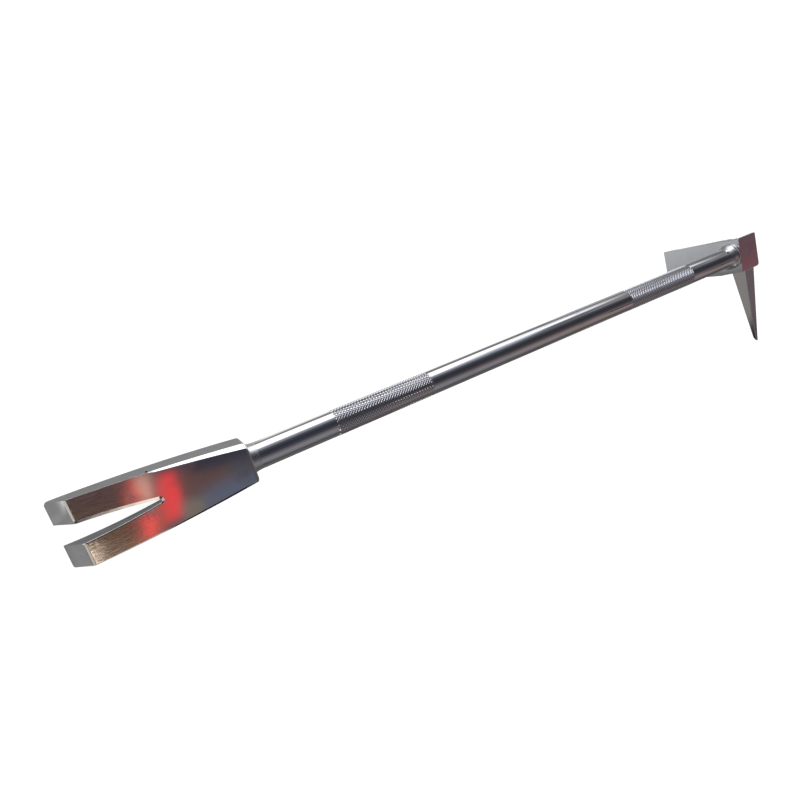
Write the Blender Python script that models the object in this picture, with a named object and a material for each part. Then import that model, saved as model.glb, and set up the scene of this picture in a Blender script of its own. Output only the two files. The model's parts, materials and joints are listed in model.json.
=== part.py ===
"""Forcible entry bar: a fork, a round shaft with turned spigots, and a head with an adze and a pike.

Everything is modelled along the bar: X runs from the fork's tips to the head's flat end, on the
shaft's axis, -Z is the way the adze points and -Y is the way the pike points. The finished bar is
then laid down as it rests on a floor, on the adze's edge and the two tips of the fork.
All sizes are in metres.
"""
import math

import bmesh
import bpy
from mathutils import Matrix, Vector

# Whole bar
OVERALL_LENGTH = 0.870
SHAFT_DIAMETER = 0.0254
CLEARANCE = 0.0003
EDGE_ROUNDING = 0.0010

# Fork: a square neck that flattens and widens into two tines
FORK_LENGTH = 0.158
FORK_TIP_WIDTH = 0.060
FORK_NECK_WIDTH = 0.035
FORK_TIP_THICKNESS = 0.021
FORK_NECK_THICKNESS = 0.036
FORK_SIDE_BULGE = 0.0020
FORK_BEVEL_LENGTH = 0.017
FORK_EDGE_LAND = 0.0015

# Slot between the tines, narrowing to a small round root
SLOT_DEPTH = 0.081
SLOT_MOUTH_WIDTH = 0.0185
SLOT_ROOT_RADIUS = 0.0014
SLOT_SIDE_BULGE = 0.0014

# Head: a block that narrows downwards under a straight crown, with the adze below and the pike beside it
HEAD_DEPTH = 0.036
HEAD_WIDTH = 0.0445
HEAD_THICKNESS = 0.031
HEAD_CROWN = 0.004
HEAD_LOW_DEPTH = 0.026
HEAD_LOW_WIDTH = 0.030
HEAD_CORNER_RADIUS = 0.006

# Adze, measured down from the shaft's axis
ADZE_REACH = 0.0915
ADZE_ROOT_WIDTH = 0.044
ADZE_PIKE_SIDE_FLARE = 0.0025
ADZE_EDGE_WIDTH = 0.042
ADZE_ROOT_THICKNESS = 0.010
ADZE_LEAN = 0.010
ADZE_GRIND_LENGTH = 0.012
ADZE_GRIND_THICKNESS = 0.0065
ADZE_EDGE_LAND = 0.0022

# Web behind the adze's root, rooted inside the blade
WEB_DROP = 0.016
WEB_WIDTH = 0.024
WEB_FRONT_INSET = 0.005
WEB_FOOT_DEPTH = 0.0025

# Pike, measured sideways from the shaft's axis
PIKE_REACH = 0.125
PIKE_ROOT_DEPTH = 0.0195
PIKE_ROOT_THICKNESS = 0.0185
PIKE_FACE_INSET = 0.0055
PIKE_BACK_SHIFT = 0.001
PIKE_TIP_DROP = 0.002
PIKE_TIP_SIZE = 0.004
PIKE_NOSE_LENGTH = 0.005
PIKE_NOSE_DEPTH = 0.001
PIKE_NOSE_THICKNESS = 0.003

# Spigots turned on the shaft's ends, and the dowel pins that cross them
SPIGOT_DIAMETER = 0.017
SPIGOT_CHAMFER = 0.0012
FORK_SPIGOT_LENGTH = 0.055
HEAD_SPIGOT_LENGTH = 0.023
PIN_DIAMETER = 0.006
PIN_CHAMFER = 0.0006
PIN_RECESS = 0.0004
PIN_WALL_ENTRY = 0.0030
FORK_PIN_OFFSETS = (0.018, 0.040)
HEAD_PIN_OFFSETS = (0.0060, 0.0170)

# Fillet welds round the shaft where it meets the fork and the head
WELD_LEG = 0.0022
WELD_HOLLOW = 0.0005

# Facets
SHAFT_SIDES = 64
PIN_SIDES = 24
ARC_STEPS = 8
WELD_STEPS = 4

SHAFT_RADIUS = SHAFT_DIAMETER / 2
SPIGOT_RADIUS = SPIGOT_DIAMETER / 2
PIN_RADIUS = PIN_DIAMETER / 2
HEAD_FACE_X = OVERALL_LENGTH - HEAD_DEPTH

# Finishes: name, colour, metallic and roughness
POLISHED_CHROME = ("polished_chrome", (0.62, 0.62, 0.65), 1.0, 0.08)
SATIN_CHROME = ("satin_chrome", (0.50, 0.50, 0.52), 1.0, 0.22)
PIN_STEEL = ("pin_steel", (0.42, 0.42, 0.44), 1.0, 0.35)


def clear_scene():
    for existing in list(bpy.data.objects):
        bpy.data.objects.remove(existing, do_unlink=True)


def finish_material(finish):
    """A plain metal for one piece."""
    name, colour, metallic, roughness = finish
    material = bpy.data.materials.new(name)
    material.use_nodes = True
    shader = material.node_tree.nodes["Principled BSDF"]
    shader.inputs["Base Color"].default_value = (*colour, 1.0)
    shader.inputs["Metallic"].default_value = metallic
    shader.inputs["Roughness"].default_value = roughness
    return material


def new_object(name, bm, pose):
    """Turns a bmesh into an object that hangs on the resting pose."""
    bmesh.ops.recalc_face_normals(bm, faces=bm.faces)
    mesh = bpy.data.meshes.new(name)
    bm.to_mesh(mesh)
    bm.free()
    piece = bpy.data.objects.new(name, mesh)
    piece.parent = pose
    bpy.context.scene.collection.objects.link(piece)
    return piece


def arc(start, end, bulge, steps=ARC_STEPS):
    """Points on a shallow arc from start to end, standing bulge to the left of the chord at its middle."""
    start, end = Vector(start), Vector(end)
    along = end - start
    left = Vector((-along.y, along.x)).normalized()
    points = []
    for step in range(steps + 1):
        share = step / steps
        rise = 4 * bulge * share * (1 - share)
        points.append(start + along * share + left * rise)
    return points


def round_corner(centre, radius, first_angle, last_angle, steps=ARC_STEPS):
    """Points round a corner, from one angle to the other, in degrees."""
    points = []
    for step in range(steps + 1):
        angle = math.radians(first_angle + (last_angle - first_angle) * step / steps)
        points.append(Vector((centre[0] + radius * math.cos(angle), centre[1] + radius * math.sin(angle))))
    return points


def prism(name, outline, low, high, place, pose):
    """A closed outline carried from low to high. place turns a point and a height into the bar's frame."""
    bm = bmesh.new()
    bottom = [bm.verts.new(place(point[0], point[1], low)) for point in outline]
    top = [bm.verts.new(place(point[0], point[1], high)) for point in outline]
    bm.faces.new(bottom)
    bm.faces.new(top)
    for index in range(len(outline)):
        after = (index + 1) % len(outline)
        bm.faces.new((bottom[index], bottom[after], top[after], top[index]))
    return new_object(name, bm, pose)


def loft(name, sections, pose):
    """A solid through sections with as many corners each, given in the same order."""
    bm = bmesh.new()
    rings = [[bm.verts.new(corner) for corner in section] for section in sections]
    corners = len(rings[0])
    for ring, following in zip(rings, rings[1:]):
        for index in range(corners):
            after = (index + 1) % corners
            bm.faces.new((ring[index], ring[after], following[after], following[index]))
    bm.faces.new(rings[0])
    bm.faces.new(rings[-1])
    return new_object(name, bm, pose)


def turned(name, profile, sides, pose, ring=False):
    """A body turned about the bar's axis. profile holds (x, radius); a ring's profile closes on itself."""
    bm = bmesh.new()
    hoops = []
    for x, radius in profile:
        hoop = []
        for side in range(sides):
            angle = 2 * math.pi * side / sides
            hoop.append(bm.verts.new((x, radius * math.cos(angle), radius * math.sin(angle))))
        hoops.append(hoop)
    pairs = list(zip(hoops, hoops[1:]))
    if ring:
        pairs.append((hoops[-1], hoops[0]))
    for hoop, following in pairs:
        for side in range(sides):
            after = (side + 1) % sides
            bm.faces.new((hoop[side], hoop[after], following[after], following[side]))
    if not ring:
        bm.faces.new(hoops[0])
        bm.faces.new(hoops[-1])
    return new_object(name, bm, pose)


def rod(name, foot, head, radius, sides, chamfer, pose):
    """A round pin from foot to head, with both ends chamfered."""
    foot, head = Vector(foot), Vector(head)
    along = head - foot
    turn = along.to_track_quat("Z", "Y").to_matrix().to_4x4()
    stand = Matrix.Translation((foot + head) / 2) @ turn
    bm = bmesh.new()
    bmesh.ops.create_cone(
        bm, cap_ends=True, segments=sides, radius1=radius, radius2=radius, depth=along.length, matrix=stand
    )
    if chamfer:
        caps = [face for face in bm.faces if len(face.verts) == sides]
        rims = [edge for cap in caps for edge in cap.edges]
        bmesh.ops.bevel(bm, geom=rims, offset=chamfer, segments=1, affect="EDGES")
    return new_object(name, bm, pose)


def as_cutter(piece):
    piece.hide_render = True
    piece.display_type = "WIRE"
    return piece


def combine(piece, operation, tool):
    step = piece.modifiers.new(f"{operation.lower()} {tool.name}", "BOOLEAN")
    step.operation = operation
    step.object = tool
    step.solver = "EXACT"


def round_edges(piece, width):
    step = piece.modifiers.new("rounded edges", "BEVEL")
    step.width = width
    step.segments = 2
    step.limit_method = "ANGLE"
    step.angle_limit = math.radians(35)
    step.use_clamp_overlap = True


def dress(piece, finish):
    piece.data.materials.append(finish_material(finish))
    piece.data.shade_smooth()
    piece.data.set_sharp_from_angle(angle=math.radians(30))


def fork_half_thickness(x):
    """Half the fork's thickness at a distance from its tips."""
    share = x / FORK_LENGTH
    return (FORK_TIP_THICKNESS + (FORK_NECK_THICKNESS - FORK_TIP_THICKNESS) * share) / 2


def flat_to_bar(x, y, z):
    return Vector((x, y, z))


def upright_to_bar(x, z, y):
    return Vector((x, y, z))


def fork_plan():
    """The fork seen from above: outer sides, neck, and the slot between the tines."""
    slot_end = (SLOT_DEPTH - SLOT_ROOT_RADIUS, 0.0)
    right_side = arc((0, -FORK_TIP_WIDTH / 2), (FORK_LENGTH, -FORK_NECK_WIDTH / 2), -FORK_SIDE_BULGE)
    left_side = [Vector((point.x, -point.y)) for point in reversed(right_side)]
    left_wall = arc((0, SLOT_MOUTH_WIDTH / 2), (slot_end[0], SLOT_ROOT_RADIUS), SLOT_SIDE_BULGE)
    root = round_corner(slot_end, SLOT_ROOT_RADIUS, 90, -90)
    right_wall = [Vector((point.x, -point.y)) for point in reversed(left_wall)]
    return right_side + left_side + left_wall + root[1:-1] + right_wall


def fork_profile():
    """The fork seen from the side: a long taper, and a chisel bevel ground from above at the tips."""
    tip = FORK_TIP_THICKNESS / 2
    neck = FORK_NECK_THICKNESS / 2
    return [
        (0, -tip),
        (FORK_LENGTH, -neck),
        (FORK_LENGTH, neck),
        (FORK_BEVEL_LENGTH, fork_half_thickness(FORK_BEVEL_LENGTH)),
        (0, FORK_EDGE_LAND - tip),
    ]


def make_pins(pose):
    """Dowel pins across the spigots, and the cutters for their holes."""
    made = []
    for number, offset in enumerate(FORK_PIN_OFFSETS, start=1):
        x = FORK_LENGTH - offset
        foot = (x, 0, PIN_RECESS + PIN_RADIUS * math.tan(fork_slope()) - fork_half_thickness(x))
        head = (x, 0, SPIGOT_RADIUS + PIN_WALL_ENTRY)
        made.append((f"fork_pin_{number}", foot, head, "fork"))
    blade_side = ADZE_ROOT_WIDTH / 2
    block_side = head_width_at(-PIN_RADIUS) / 2
    for number, (offset, side) in enumerate(zip(HEAD_PIN_OFFSETS, (blade_side, block_side)), start=1):
        x = HEAD_FACE_X + offset
        foot = (x, side - PIN_RECESS, 0)
        head = (x, -SPIGOT_RADIUS - PIN_WALL_ENTRY, 0)
        made.append((f"head_pin_{number}", foot, head, "head"))
    pins = []
    for name, foot, head, place in made:
        pin = rod(name, foot, head, PIN_RADIUS, PIN_SIDES, PIN_CHAMFER, pose)
        dress(pin, PIN_STEEL)
        way = (Vector(head) - Vector(foot)).normalized()
        mouth = Vector(foot) - way * PIN_DIAMETER
        bottom = Vector(head) + way * CLEARANCE
        hole = rod(f"{name}_hole", mouth, bottom, PIN_RADIUS + CLEARANCE, PIN_SIDES, 0, pose)
        pins.append((place, pin, as_cutter(hole)))
    return pins


def fork_slope():
    """The angle of the fork's broad faces to the shaft's axis."""
    return math.atan((FORK_NECK_THICKNESS - FORK_TIP_THICKNESS) / 2 / FORK_LENGTH)


def make_fork(pose, pins):
    """The forged fork: its plan crossed with its side profile, then bored for the spigot and the pins."""
    deep = max(FORK_NECK_THICKNESS, FORK_TIP_THICKNESS)
    wide = max(FORK_NECK_WIDTH, FORK_TIP_WIDTH)
    fork = prism("fork", fork_plan(), -deep, deep, flat_to_bar, pose)
    profile = as_cutter(prism("fork_side_profile", fork_profile(), -wide, wide, upright_to_bar, pose))
    combine(fork, "INTERSECT", profile)
    round_edges(fork, EDGE_ROUNDING)
    bore = turned(
        "fork_bore",
        [
            (FORK_LENGTH - FORK_SPIGOT_LENGTH - CLEARANCE, SPIGOT_RADIUS + CLEARANCE),
            (FORK_LENGTH + SPIGOT_DIAMETER, SPIGOT_RADIUS + CLEARANCE),
        ],
        SHAFT_SIDES,
        pose,
    )
    combine(fork, "DIFFERENCE", as_cutter(bore))
    for place, _, hole in pins:
        if place == "fork":
            combine(fork, "DIFFERENCE", hole)
    dress(fork, POLISHED_CHROME)
    return fork


def make_shaft(pose, pins):
    """The round bar, with a spigot turned on each end and drilled across for the pins."""
    fork_shoulder = FORK_LENGTH + CLEARANCE
    head_shoulder = HEAD_FACE_X - CLEARANCE
    fork_end = FORK_LENGTH - FORK_SPIGOT_LENGTH
    head_end = HEAD_FACE_X + HEAD_SPIGOT_LENGTH
    profile = [
        (fork_end, SPIGOT_RADIUS - SPIGOT_CHAMFER),
        (fork_end + SPIGOT_CHAMFER, SPIGOT_RADIUS),
        (fork_shoulder, SPIGOT_RADIUS),
        (fork_shoulder, SHAFT_RADIUS),
        (head_shoulder, SHAFT_RADIUS),
        (head_shoulder, SPIGOT_RADIUS),
        (head_end - SPIGOT_CHAMFER, SPIGOT_RADIUS),
        (head_end, SPIGOT_RADIUS - SPIGOT_CHAMFER),
    ]
    shaft = turned("shaft", profile, SHAFT_SIDES, pose)
    for _, _, hole in pins:
        combine(shaft, "DIFFERENCE", hole)
    dress(shaft, POLISHED_CHROME)
    return shaft


def make_weld(name, wall_x, away, pose):
    """A hollow fillet round the shaft, against the wall at wall_x, reaching away from it."""
    inner = SHAFT_RADIUS + CLEARANCE
    start = wall_x + away * CLEARANCE
    slope = arc((0, WELD_LEG), (WELD_LEG, 0), -WELD_HOLLOW, WELD_STEPS)
    profile = [(start, inner)]
    for point in slope[:-1]:
        profile.append((start + away * point.x, inner + point.y))
    profile.append((start + away * WELD_LEG, inner))
    weld = turned(name, profile, SHAFT_SIDES, pose, ring=True)
    dress(weld, SATIN_CHROME)
    return weld


def head_share(z):
    """How far a height has come from the crown's lower edge, 0, to the block's underside, 1."""
    crown = HEAD_THICKNESS / 2 - HEAD_CROWN
    return max(0.0, (crown - z) / (crown + HEAD_THICKNESS / 2))


def head_width_at(z):
    return HEAD_WIDTH + (HEAD_LOW_WIDTH - HEAD_WIDTH) * head_share(z)


def head_depth_at(z):
    return HEAD_DEPTH + (HEAD_LOW_DEPTH - HEAD_DEPTH) * head_share(z)


def head_section(z):
    """The head's block cut at one height, with its rear corner on the pike's side rounded."""
    left = head_width_at(z) / 2
    rear = HEAD_FACE_X + head_depth_at(z)
    centre = (rear - HEAD_CORNER_RADIUS, HEAD_CORNER_RADIUS - left)
    corner = round_corner(centre, HEAD_CORNER_RADIUS, -90, 0)
    outline = [Vector((HEAD_FACE_X, -left))] + corner + [Vector((rear, left)), Vector((HEAD_FACE_X, left))]
    return [(point.x, point.y, z) for point in outline]


def blade_section(front_x, thickness, pike_side, far_side, z):
    """A level rectangle: its face towards the fork, its thickness, and its two edges' places."""
    return [
        (front_x, -pike_side, z),
        (front_x + thickness, -pike_side, z),
        (front_x + thickness, far_side, z),
        (front_x, far_side, z),
    ]


def adze_share(z):
    """How far a height has come from the adze's root, 0, to its edge, 1."""
    root_z = -HEAD_THICKNESS / 2
    return (root_z - z) / (root_z + ADZE_REACH)


def adze_front(z):
    """The place of the adze's face towards the fork. The blade leans towards the fork."""
    return HEAD_FACE_X - ADZE_LEAN * adze_share(z)


def adze_section(thickness, z):
    """The adze's blade cut at one height. It narrows towards its edge, mostly on the pike's side."""
    share = adze_share(z)
    far_side = (ADZE_ROOT_WIDTH + (ADZE_EDGE_WIDTH - ADZE_ROOT_WIDTH) * share) / 2
    pike_side = far_side + ADZE_PIKE_SIDE_FLARE * (1 - share)
    return blade_section(adze_front(z), thickness, pike_side, far_side, z)


def make_adze(pose):
    """The adze's blade, which starts under the crown, with its edge ground from behind."""
    half = ADZE_ROOT_WIDTH / 2
    front = HEAD_FACE_X + EDGE_ROUNDING / 2
    sections = [
        blade_section(front, ADZE_ROOT_THICKNESS, half, half, HEAD_THICKNESS / 2 - HEAD_CROWN),
        adze_section(ADZE_ROOT_THICKNESS, -HEAD_THICKNESS / 2),
        adze_section(ADZE_GRIND_THICKNESS, ADZE_GRIND_LENGTH - ADZE_REACH),
        adze_section(ADZE_EDGE_LAND, -ADZE_REACH),
    ]
    return loft("adze_form", sections, pose)


def make_web(pose):
    """The thick web behind the adze's root, under the block."""
    half = WEB_WIDTH / 2
    front = HEAD_FACE_X + WEB_FRONT_INSET
    depth = HEAD_LOW_DEPTH - WEB_FRONT_INSET - EDGE_ROUNDING
    root_z = -HEAD_THICKNESS / 2
    foot_z = root_z - WEB_DROP
    sections = [
        blade_section(front, depth, half, half, root_z + EDGE_ROUNDING),
        blade_section(front, depth, half, half, root_z - EDGE_ROUNDING),
        blade_section(adze_front(foot_z) + WEB_FRONT_INSET, WEB_FOOT_DEPTH, half, half, foot_z),
    ]
    return loft("web_form", sections, pose)


def pike_section(front_x, back_x, low_z, high_z, y):
    return [(front_x, y, low_z), (back_x, y, low_z), (back_x, y, high_z), (front_x, y, high_z)]


def make_pike(pose):
    """The pike: four flat sides that taper to a short nose, with its rear side square to the shaft."""
    root_y = -HEAD_WIDTH / 2
    root_front = HEAD_FACE_X + PIKE_FACE_INSET
    root_back = root_front + PIKE_ROOT_DEPTH
    root_high = HEAD_THICKNESS / 2 - EDGE_ROUNDING
    root_low = root_high - PIKE_ROOT_THICKNESS
    tip_back = root_back + PIKE_BACK_SHIFT
    tip_middle = (root_high + root_low) / 2 - PIKE_TIP_DROP
    tip_low = tip_middle - PIKE_TIP_SIZE / 2
    tip_high = tip_middle + PIKE_TIP_SIZE / 2
    nose_y = PIKE_NOSE_LENGTH - PIKE_REACH
    nose_front = tip_back - PIKE_NOSE_DEPTH
    nose_low = tip_high - PIKE_NOSE_THICKNESS
    sections = [
        pike_section(root_front, root_back, root_low, root_high, 0),
        pike_section(root_front, root_back, root_low, root_high, root_y),
        pike_section(tip_back - PIKE_TIP_SIZE, tip_back, tip_low, tip_high, nose_y),
        pike_section(nose_front, tip_back, nose_low, tip_high, -PIKE_REACH),
    ]
    return loft("pike_form", sections, pose)


def make_head(pose, pins):
    """The forged head: block, adze and pike in one piece, bored for the spigot and the pins."""
    half = HEAD_THICKNESS / 2
    head = loft("head", [head_section(z) for z in (half, half - HEAD_CROWN, -half)], pose)
    round_edges(head, EDGE_ROUNDING)
    for form in (make_adze(pose), make_web(pose), make_pike(pose)):
        round_edges(form, EDGE_ROUNDING / 2)
        combine(head, "UNION", as_cutter(form))
    bore = turned(
        "head_bore",
        [
            (HEAD_FACE_X - SPIGOT_DIAMETER, SPIGOT_RADIUS + CLEARANCE),
            (HEAD_FACE_X + HEAD_SPIGOT_LENGTH + CLEARANCE, SPIGOT_RADIUS + CLEARANCE),
        ],
        SHAFT_SIDES,
        pose,
    )
    combine(head, "DIFFERENCE", as_cutter(bore))
    for place, _, hole in pins:
        if place == "head":
            combine(head, "DIFFERENCE", hole)
    dress(head, POLISHED_CHROME)
    return head


def lay_down(pose, pieces):
    """Pitches the bar on to the fork's tips and the adze's edge, and puts the origin under its middle."""
    fork_foot = Vector((0, 0, -FORK_TIP_THICKNESS / 2))
    adze_foot = Vector((HEAD_FACE_X - ADZE_LEAN, 0, -ADZE_REACH))
    span = adze_foot - fork_foot
    pose.rotation_euler = (0, math.atan2(span.z, span.x), 0)
    bpy.context.view_layer.update()
    graph = bpy.context.evaluated_depsgraph_get()
    corners = []
    for piece in pieces:
        shown = piece.evaluated_get(graph)
        corners += [shown.matrix_world @ vertex.co for vertex in shown.data.vertices]
    lowest = Vector([min(corner[axis] for corner in corners) for axis in range(3)])
    highest = Vector([max(corner[axis] for corner in corners) for axis in range(3)])
    middle = (lowest + highest) / 2
    pose.location = (-middle.x, -middle.y, -lowest.z)
    bpy.context.view_layer.update()


def build():
    clear_scene()
    pose = bpy.data.objects.new("resting_pose", None)
    bpy.context.scene.collection.objects.link(pose)
    pins = make_pins(pose)
    pieces = [
        make_fork(pose, pins),
        make_shaft(pose, pins),
        make_head(pose, pins),
        make_weld("fork_weld", FORK_LENGTH, 1, pose),
        make_weld("head_weld", HEAD_FACE_X, -1, pose),
    ]
    pieces += [pin for _, pin, _ in pins]
    lay_down(pose, pieces)


build()
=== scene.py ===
"""Forcible entry bar, dressed as it is photographed: a chrome-plated fork, a knurled shaft, and a head
with an adze and a pike, lying on a pale floor. The chrome doesn't reflect a plain studio: it reflects a
room and a floor that are worked out from the photograph's own reflections. Lengths are in metres.
"""
import json
import math

import bmesh
import bpy
from mathutils import Matrix, Quaternion, Vector


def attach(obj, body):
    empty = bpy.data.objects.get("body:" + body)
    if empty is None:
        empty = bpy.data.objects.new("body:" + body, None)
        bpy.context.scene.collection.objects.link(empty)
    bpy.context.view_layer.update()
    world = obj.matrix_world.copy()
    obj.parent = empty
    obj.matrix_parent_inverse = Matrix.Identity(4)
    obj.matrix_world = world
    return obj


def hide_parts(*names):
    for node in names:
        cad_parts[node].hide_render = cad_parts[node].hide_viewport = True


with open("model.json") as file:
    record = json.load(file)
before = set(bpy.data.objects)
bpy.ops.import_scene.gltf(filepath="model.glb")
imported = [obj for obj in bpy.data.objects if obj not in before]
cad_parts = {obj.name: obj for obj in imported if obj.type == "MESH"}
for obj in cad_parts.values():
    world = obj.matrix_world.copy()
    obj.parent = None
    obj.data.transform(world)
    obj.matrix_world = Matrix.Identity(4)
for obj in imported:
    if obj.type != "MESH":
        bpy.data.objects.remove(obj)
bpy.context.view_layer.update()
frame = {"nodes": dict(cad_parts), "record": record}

# Camera. It stands beyond the fork and looks steeply down along the bar through a wide lens. The picture is
# turned on its side, so that the bar runs from the lower left to the upper right.
CAMERA_PLACE = Vector((-0.3859, 0.1829, 0.5326))
CAMERA_AIM = Vector((-0.1284, 0.0486, 0.0600))
CAMERA_ROLL = math.radians(96.84)
CAMERA_LENS_MM = 25.98
CAMERA_FILM_MM = 36.0

camera = bpy.data.objects.new("camera", bpy.data.cameras.new("camera"))
camera.data.lens = CAMERA_LENS_MM
camera.data.sensor_width = CAMERA_FILM_MM
camera.data.clip_start = 0.01
camera_turn = (CAMERA_PLACE - CAMERA_AIM).to_track_quat("Z", "Y") @ Quaternion((0, 0, 1), CAMERA_ROLL)
camera.matrix_world = Matrix.LocRotScale(CAMERA_PLACE, camera_turn, None)
bpy.context.scene.collection.objects.link(camera)
bpy.context.scene.camera = camera
bpy.context.scene.view_settings.view_transform = "Standard"

# How the bar lies. Every piece is made along the bar: X runs from the fork's tips to the head on the
# shaft's axis, -Z is the way the adze points and -Y the way the pike points. bar_pose lays it on the floor.
mount_axes = {mount["name"]: mount["axis"] for mount in frame["record"]["mounts"]}
bar_up = Vector(mount_axes["head_top_face"])
bar_side = Vector((0, 1, 0))
bar_turn = Matrix((bar_side.cross(bar_up), bar_side, bar_up)).transposed()


def span(node, axis):
    """The least and the greatest place of a node along one of the bar's own directions."""
    places = [(bar_turn.transposed() @ vertex.co)[axis] for vertex in frame["nodes"][node].data.vertices]
    return min(places), max(places)


bar_origin = bar_turn @ Vector((span("fork", 0)[0], sum(span("shaft", 1)) / 2, sum(span("shaft", 2)) / 2))
bar_pose = Matrix.Translation(bar_origin) @ bar_turn.to_4x4()


# Shaft. The real one is a round steel bar, ground and polished, with two grips rolled into it with a diamond
# knurl before it is plated. The spigot turned on each end, into the fork and the head, is an assumption.
FORK_LENGTH = 0.1595
HEAD_FACE_X = 0.834
CLEARANCE = 0.0003
SHAFT_RADIUS = 0.0127
SHAFT_SIDES = 54
SPIGOT_RADIUS = 0.0085
SPIGOT_CHAMFER = 0.0012
FORK_SPIGOT_LENGTH = 0.055
HEAD_SPIGOT_LENGTH = 0.023
# Where each grip starts and ends, and how deep its diamonds are. Depth and spacing are guesses, set by how
# bright each grip looks and by what can be made out in a picture.
KNURLED_GRIPS = ((0.2435, 0.3516, 0.00032), (0.6348, 0.7477, 0.00039))
KNURL_ROW = 0.00155
KNURL_PEAK_SHARE = 0.4
KNURL_TOP_SHARE = 0.57
CHROME_COLOUR = (0.86, 0.86, 0.88)
DULL_CHROME_COLOUR = (0.76, 0.75, 0.76)
MARKED_CHROME_COLOUR = (0.42, 0.39, 0.38)
MARKS_LEFT_BEFORE_ZONE = 0.15
MARKS_LEFT_PAST_ZONE = 0.03
# The next two give the knurl's grooves their painted shade, tinted with a painted bluish reflection, and say
# how near the plain surface that shade fades out.
GROOVE_SHADE_COLOUR = (0.57, 0.58, 0.64)
KNURL_SHADE_CLEARANCE = 0.00003
BROAD_FACE_AREA = 0.00002
SHAFT_SHARP_ANGLE = math.radians(30)


def feed(tree, value, socket):
    """Gives a socket a number, a colour or another node's output."""
    if isinstance(value, bpy.types.NodeSocket):
        tree.links.new(value, socket)
    else:
        socket.default_value = value


def calculate(tree, operation, *values):
    """The result of one Math node."""
    node = tree.nodes.new("ShaderNodeMath")
    node.operation = operation
    for value, socket in zip(values, node.inputs):
        feed(tree, value, socket)
    return node.outputs["Value"]


def stretch(tree, place, amounts):
    """A place with each of its three parts multiplied by its own amount."""
    node = tree.nodes.new("ShaderNodeVectorMath")
    node.operation = "MULTIPLY"
    feed(tree, place, node.inputs[0])
    feed(tree, amounts, node.inputs[1])
    return node.outputs["Vector"]


def fade(tree, value, low, high, at_low=0.0, at_high=1.0):
    """A smooth change from at_low to at_high as the value goes from low to high."""
    node = tree.nodes.new("ShaderNodeMapRange")
    node.interpolation_type = "SMOOTHSTEP"
    for number, socket in zip((value, low, high, at_low, at_high), node.inputs):
        feed(tree, number, socket)
    return node.outputs["Result"]


def noise(tree, place, scale, detail):
    """Cloudy noise from 0 to 1 at a place."""
    node = tree.nodes.new("ShaderNodeTexNoise")
    feed(tree, place, node.inputs["Vector"])
    feed(tree, scale, node.inputs["Scale"])
    node.inputs["Detail"].default_value = detail
    return node.outputs["Fac"]


def blend_colours(tree, share, first, second):
    """The first colour where the share is 0, and the second where it is 1."""
    node = tree.nodes.new("ShaderNodeMix")
    node.data_type = "RGBA"
    feed(tree, share, node.inputs[0])
    feed(tree, first, node.inputs[6])
    feed(tree, second, node.inputs[7])
    return node.outputs[2]


def split(tree, place):
    """The three parts of a place."""
    node = tree.nodes.new("ShaderNodeSeparateXYZ")
    feed(tree, place, node.inputs[0])
    return node.outputs


def place_on_bar(tree):
    """Where a point of the surface is along the bar, in metres from the fork's tips and the shaft's axis."""
    node = tree.nodes.new("ShaderNodeMapping")
    node.vector_type = "TEXTURE"
    node.inputs["Location"].default_value = bar_origin
    node.inputs["Rotation"].default_value = bar_turn.to_euler()
    feed(tree, tree.nodes.new("ShaderNodeTexCoord").outputs["Object"], node.inputs["Vector"])
    return node.outputs["Vector"]


def new_group(name, inputs, outputs):
    """An empty shader group. Its tree comes back with its input sockets, by name, and its output node."""
    group = bpy.data.node_groups.new(name, "ShaderNodeTree")
    for label, default in inputs.items():
        kind = "NodeSocketVector" if isinstance(default, tuple) else "NodeSocketFloat"
        group.interface.new_socket(label, in_out="INPUT", socket_type=kind).default_value = default
    for label in outputs:
        group.interface.new_socket(label, in_out="OUTPUT", socket_type="NodeSocketFloat")
    return group, group.nodes.new("NodeGroupInput").outputs, group.nodes.new("NodeGroupOutput")


def use_group(tree, group, values):
    """Places a group in a tree with its own values and gives back its outputs."""
    node = tree.nodes.new("ShaderNodeGroup")
    node.node_tree = group
    for label, value in values.items():
        feed(tree, value, node.inputs[label])
    return node.outputs


# The slow rise and fall that polishing leaves under the plating, as a height in metres.
polishing_waves, given, result = new_group(
    "polishing_waves", {"Place": (0.0, 0.0, 0.0), "Length": 0.03, "Depth": 0.00005}, ["Height"]
)
wave_scale = calculate(polishing_waves, "DIVIDE", 1.0, given["Length"])
wave = noise(polishing_waves, given["Place"], wave_scale, 1.0)
feed(polishing_waves, calculate(polishing_waves, "MULTIPLY", wave, given["Depth"]), result.inputs["Height"])

# Fine lines that grinding and use leave in the plating. Stretch makes them long along one direction.
fine_lines, given, result = new_group(
    "fine_lines",
    {
        "Place": (0.0, 0.0, 0.0),
        "Stretch": (0.05, 1.0, 1.0),
        "Spacing": 0.001,
        "Depth": 0.00001,
        "Cover": 0.5,
    },
    ["Height", "Mask"],
)
line_place = stretch(fine_lines, given["Place"], given["Stretch"])
lines = noise(fine_lines, line_place, calculate(fine_lines, "DIVIDE", 1.0, given["Spacing"]), 3.0)
line_mask = fade(fine_lines, lines, calculate(fine_lines, "SUBTRACT", 1.0, given["Cover"]), 0.95)
feed(fine_lines, calculate(fine_lines, "MULTIPLY", lines, given["Depth"]), result.inputs["Height"])
feed(fine_lines, line_mask, result.inputs["Mask"])

# The cloudy bloom of handling and wiping, from 0 where the chrome is clean to 1 where it is dull.
handling_bloom, given, result = new_group(
    "handling_bloom", {"Place": (0.0, 0.0, 0.0), "Size": 0.02, "Cover": 0.5}, ["Mask"]
)
cloud = noise(handling_bloom, given["Place"], calculate(handling_bloom, "DIVIDE", 1.0, given["Size"]), 4.0)
edge = calculate(handling_bloom, "SUBTRACT", 0.9, given["Cover"])
feed(handling_bloom, fade(handling_bloom, cloud, edge, 0.85), result.inputs["Mask"])


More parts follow.
